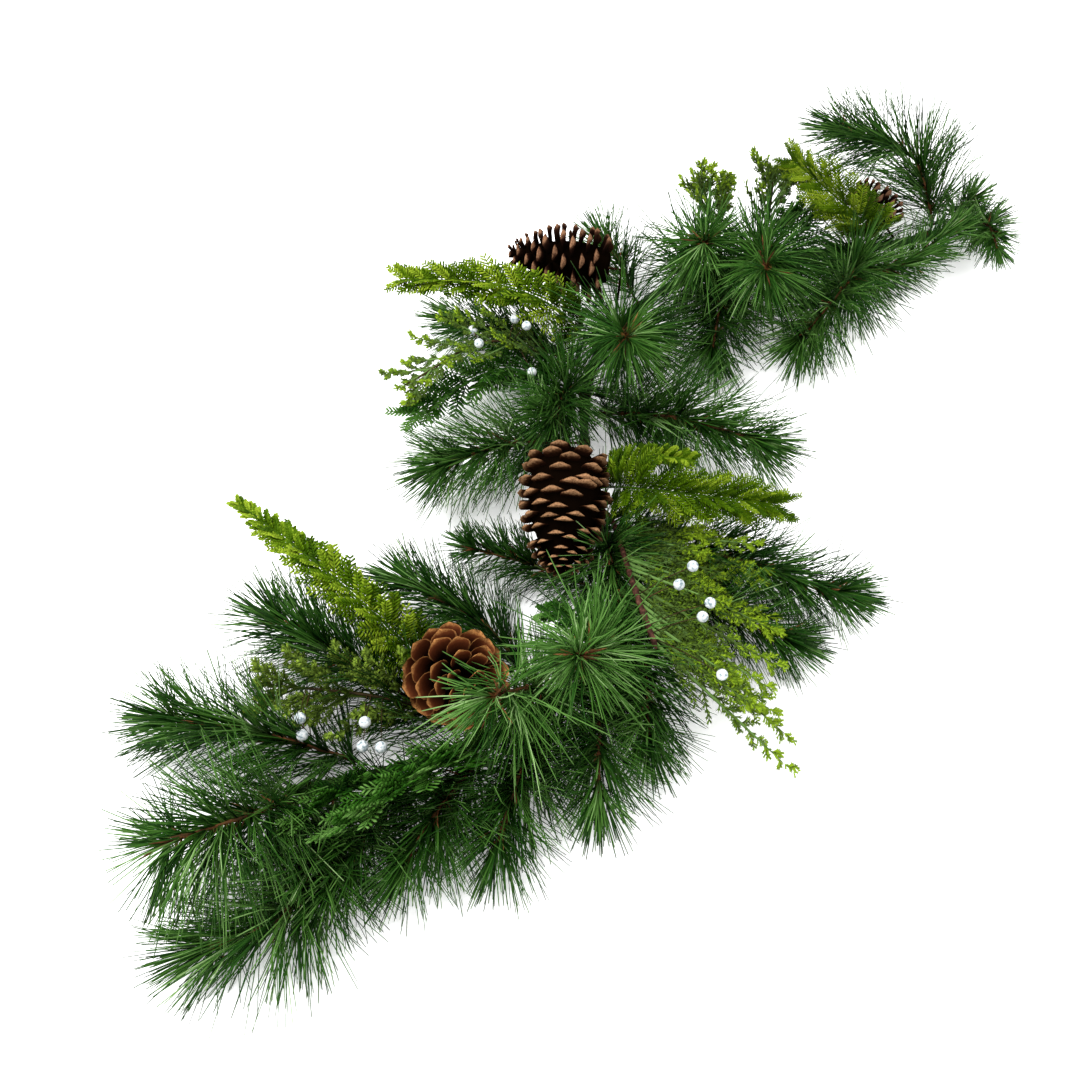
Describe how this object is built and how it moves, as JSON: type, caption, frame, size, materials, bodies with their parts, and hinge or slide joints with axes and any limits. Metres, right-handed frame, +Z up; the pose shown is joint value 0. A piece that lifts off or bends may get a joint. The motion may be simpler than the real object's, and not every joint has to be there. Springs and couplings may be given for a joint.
{
  "type": "christmas garland",
  "caption": "Artificial evergreen garland laid in an S: long-needle pine sprays, flat cedar picks, juniper picks with white berries and pine cones, wired along a wrapped vine.",
  "frame": {"origin": "on the surface that the garland lies on, in the flat under the vine near the middle of its bend", "axes": "+X along the garland's length towards the end with the small cone, +Y across it, +Z up from the surface it lies on"},
  "size_m": [1.1572, 0.61, 0.1818],
  "materials": {
    "vine_tape": "matt green tape wound on wire",
    "pine_green": "satin deep green plastic needles",
    "cedar_lime": "matt yellow-green moulded plastic",
    "cedar_green": "matt mid-green moulded plastic",
    "juniper_green": "matt olive-green moulded plastic",
    "cone_brown": "dry natural cone scales with lighter tips"
  },
  "bodies": {
    "root": {"vine": "vine_tape", "pine_01": "pine_green", "pine_02": "pine_green", "pine_03": "pine_green", "pine_04": "pine_green", "pine_05": "pine_green", "pine_06": "pine_green", "pine_07": "pine_green", "pine_08": "pine_green", "pine_09": "pine_green", "pine_10": "pine_green", "pine_11": "pine_green", "pine_12": "pine_green", "pine_13": "pine_green", "pine_14": "pine_green", "pine_15": "pine_green", "pine_16": "pine_green", "pine_17": "pine_green", "pine_18": "pine_green", "pine_19": "pine_green", "pine_20": "pine_green", "pine_21": "pine_green", "pine_22": "pine_green", "pine_23": "pine_green", "pine_24": "pine_green", "pine_25": "pine_green", "pine_26": "pine_green", "pine_27": "pine_green", "pine_28": "pine_green", "pine_29": "pine_green", "pine_30": "pine_green", "cedar_lime_1": "cedar_lime", "cedar_lime_2": "cedar_lime", "cedar_lime_3": "cedar_lime", "cedar_lime_4": "cedar_lime", "cedar_lime_5": "cedar_lime", "cedar_dark_1": "cedar_green", "cedar_dark_2": "cedar_green", "cedar_dark_3": "cedar_green", "cedar_dark_4": "cedar_green", "cedar_dark_5": "cedar_green", "juniper_1": "juniper_green", "juniper_2": "juniper_green", "juniper_3": "juniper_green", "juniper_4": "juniper_green", "juniper_5": "juniper_green", "cone_middle": "cone_brown", "cone_left": "cone_brown", "cone_top": "cone_brown", "cone_right": "cone_brown"}
  },
  "joints": []
}
